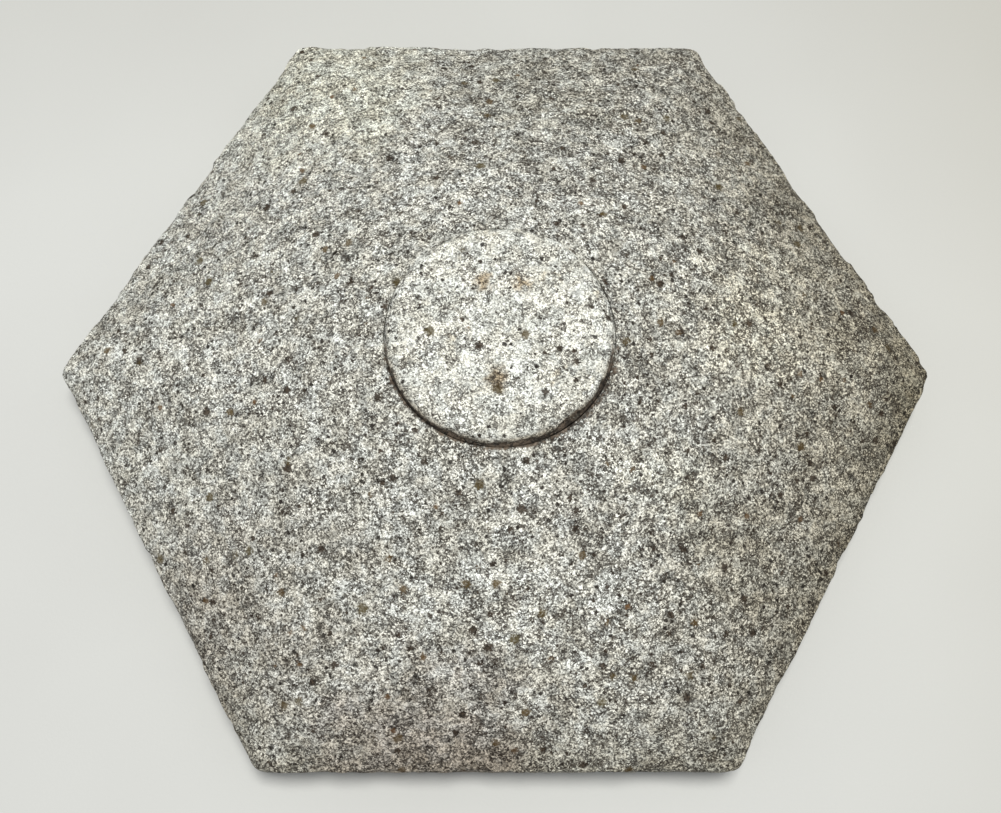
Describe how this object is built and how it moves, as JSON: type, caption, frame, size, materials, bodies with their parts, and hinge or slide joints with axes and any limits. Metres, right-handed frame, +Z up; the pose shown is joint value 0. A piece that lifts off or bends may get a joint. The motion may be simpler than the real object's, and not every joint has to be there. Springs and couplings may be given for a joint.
{
  "type": "hexagonal domed stone cap",
  "caption": "Hexagonal granite cap with a pillow-shaped dome and a loose round seat disc on its crown, such as the roof stone of a small garden lantern.",
  "frame": {"origin": "centre of the cap stone's underside", "axes": "+Z up, out of the dome's crown; +X through one corner of the hexagon; +Y across two straight sides"},
  "size_m": [0.3306, 0.288, 0.068],
  "materials": {
    "cap_granite": "rough pecked grey granite with black mica flecks and rust spots",
    "disc_granite": "rough pecked pale granite with sparse black flecks and rust stains",
    "dowel_steel": "dull weathered steel rod"
  },
  "bodies": {
    "cap": {"cap_stone": "cap_granite"},
    "dowel": {"centring_dowel": "dowel_steel"},
    "disc": {"seat_disc": "disc_granite"}
  },
  "joints": [
    {"name": "dowel_turn", "type": "hinge", "parent": "cap", "child": "dowel", "pos_m": [0.0008, 0, 0.06], "axis": [0, 0, 1], "continuous": true},
    {"name": "disc_lift", "type": "slide", "parent": "dowel", "child": "disc", "axis": [0, 0, 1], "range_m": [0, 0.04]}
  ]
}
